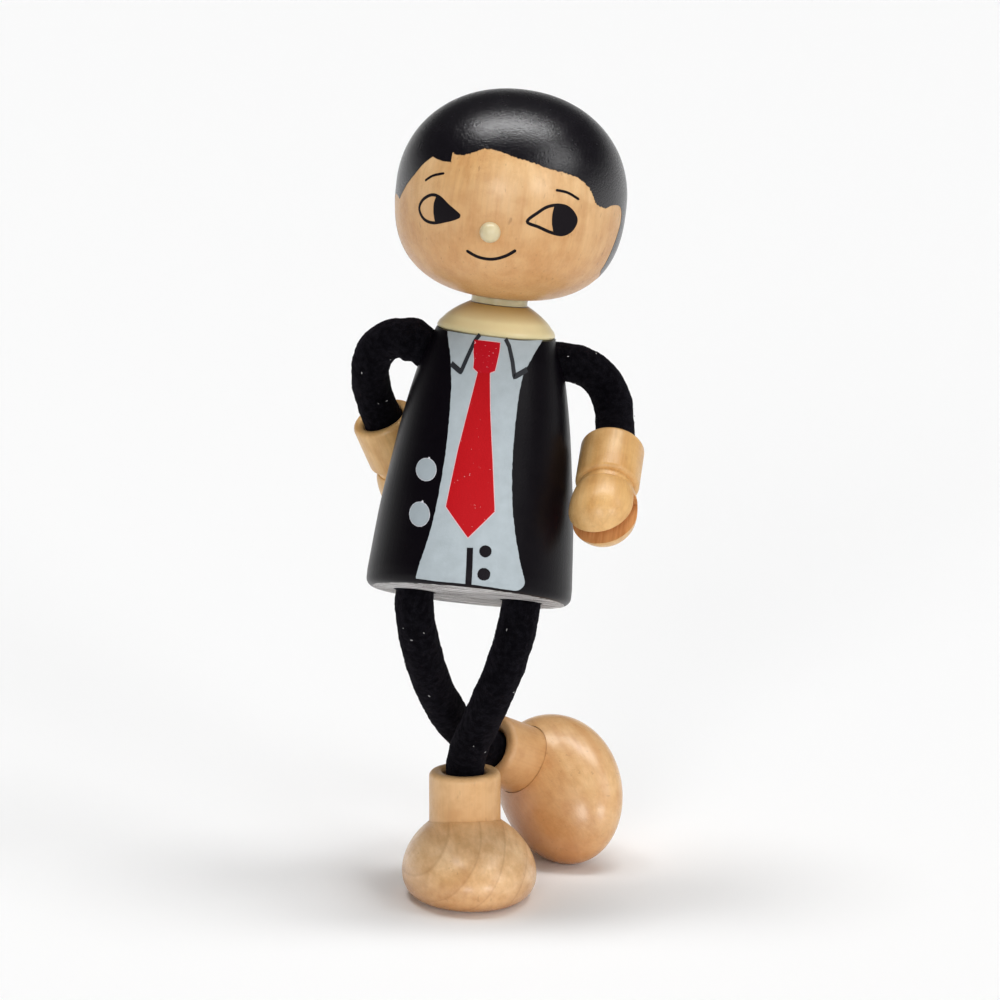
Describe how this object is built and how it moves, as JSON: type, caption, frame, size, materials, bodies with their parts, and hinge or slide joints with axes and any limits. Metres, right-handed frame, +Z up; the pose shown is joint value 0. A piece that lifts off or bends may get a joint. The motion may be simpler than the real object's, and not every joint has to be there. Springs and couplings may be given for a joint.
{
  "type": "bendy doll",
  "caption": "Standing wooden bendy doll with a turned head, a bell-shaped body in a painted suit, and velvet wire limbs with wooden hands and shoes.",
  "frame": {"origin": "on the surface the doll stands on, at the centre of the flat left shoe's sole under its ankle cuff", "axes": "+Z up, -Y the way the doll faces, +X to the doll's left"},
  "size_m": [0.0469, 0.0543, 0.1294],
  "materials": {
    "head_wood": "satin lacquer over pale wood, with black painted hair and face",
    "hand_wood": "clear lacquer over pale wood",
    "shoe_wood": "clear lacquer over pale wood, with fine dark grain",
    "pin_wood": "bare wood",
    "black_paint": "black satin paint over wood, with a pale blue-grey shirt front and a red tie",
    "cream_plastic": "glossy cream",
    "clear_plastic": "translucent grey-green",
    "black_velvet": "short black velvet pile",
    "core_wire": "bare soft steel"
  },
  "bodies": {
    "root": {"torso": "black_paint", "collar": "cream_plastic", "neck_sleeve": "clear_plastic", "neck_pin": "pin_wood", "left_shoulder_rope": "black_velvet", "left_hip_rope": "black_velvet", "left_arm_wire": "core_wire", "left_leg_wire": "core_wire", "right_shoulder_rope": "black_velvet", "right_hip_rope": "black_velvet", "right_arm_wire": "core_wire", "right_leg_wire": "core_wire"},
    "head": {"head": "head_wood", "nose_bead": "cream_plastic"},
    "left_upper_arm": {"left_upper_arm_rope": "black_velvet", "left_elbow_rope": "black_velvet"},
    "left_hand": {"left_forearm_rope": "black_velvet", "left_hand": "hand_wood"},
    "left_thigh": {"left_thigh_rope": "black_velvet", "left_knee_rope": "black_velvet"},
    "left_shin": {"left_shin_rope": "black_velvet", "left_ankle_rope": "black_velvet"},
    "left_foot": {"left_foot_rope": "black_velvet", "left_cuff": "shoe_wood", "left_shoe": "shoe_wood"},
    "right_upper_arm": {"right_upper_arm_rope": "black_velvet", "right_elbow_rope": "black_velvet"},
    "right_hand": {"right_forearm_rope": "black_velvet", "right_hand": "hand_wood"},
    "right_thigh": {"right_thigh_rope": "black_velvet", "right_knee_rope": "black_velvet"},
    "right_shin": {"right_shin_rope": "black_velvet", "right_ankle_rope": "black_velvet"},
    "right_foot": {"right_foot_rope": "black_velvet", "right_cuff": "shoe_wood", "right_shoe": "shoe_wood"}
  },
  "joints": [
    {"name": "head_turn", "type": "hinge", "parent": "root", "child": "head", "pos_m": [0.00752, 0.0063, 0.1125], "axis": [0.1111, 0.0695, 0.9914], "continuous": true},
    {"name": "left_shoulder", "type": "hinge", "parent": "root", "child": "left_upper_arm", "pos_m": [0.01808, 0.0034, 0.08557], "axis": [-0.0104, -0.9528, 0.3034], "range_deg": [0, 80], "deforming": ["left_shoulder_rope", "left_arm_wire"]},
    {"name": "left_elbow", "type": "hinge", "parent": "left_upper_arm", "child": "left_hand", "pos_m": [0.02353, 0.00338, 0.07912], "axis": [0.6943, -0.5602, 0.4517], "range_deg": [-4, 75], "deforming": ["left_elbow_rope"]},
    {"name": "left_hip", "type": "hinge", "parent": "root", "child": "left_thigh", "pos_m": [0.00859, -0.00898, 0.04634], "axis": [-0.9945, 0.0416, 0.0966], "range_deg": [-2, 75], "deforming": ["left_hip_rope", "left_leg_wire"]},
    {"name": "left_knee", "type": "hinge", "parent": "left_thigh", "child": "left_shin", "pos_m": [0.00492, -0.00662, 0.03436], "axis": [-0.9945, 0.0416, 0.0966], "range_deg": [-3, 45], "deforming": ["left_knee_rope"]},
    {"name": "left_ankle", "type": "hinge", "parent": "left_shin", "child": "left_foot", "pos_m": [0.00066, -0.001, 0.02317], "axis": [-0.9945, 0.0416, 0.0966], "range_deg": [-10, 40], "deforming": ["left_ankle_rope"]},
    {"name": "right_shoulder", "type": "hinge", "parent": "root", "child": "right_upper_arm", "pos_m": [-0.00895, 0.00489, 0.08916], "axis": [0.0104, 0.9528, -0.3034], "range_deg": [-6, 80], "deforming": ["right_shoulder_rope", "right_arm_wire"]},
    {"name": "right_elbow", "type": "hinge", "parent": "right_upper_arm", "child": "right_hand", "pos_m": [-0.0151, 0.00938, 0.08365], "axis": [0.2228, 0.8785, 0.4226], "range_deg": [-4, 75], "deforming": ["right_elbow_rope"]},
    {"name": "right_hip", "type": "hinge", "parent": "root", "child": "right_thigh", "pos_m": [-0.00785, -0.00754, 0.04722], "axis": [-0.9945, 0.0416, 0.0966], "range_deg": [-40, 0], "deforming": ["right_hip_rope", "right_leg_wire"]},
    {"name": "right_knee", "type": "hinge", "parent": "right_thigh", "child": "right_shin", "pos_m": [-0.00494, -0.00032, 0.03359], "axis": [-0.9945, 0.0416, 0.0966], "range_deg": [-40, 3], "deforming": ["right_knee_rope"]},
    {"name": "right_ankle", "type": "hinge", "parent": "right_shin", "child": "right_foot", "pos_m": [0.00107, 0.00961, 0.02238], "axis": [-0.9945, 0.0416, 0.0966], "range_deg": [-30, 15], "deforming": ["right_ankle_rope"]}
  ]
}
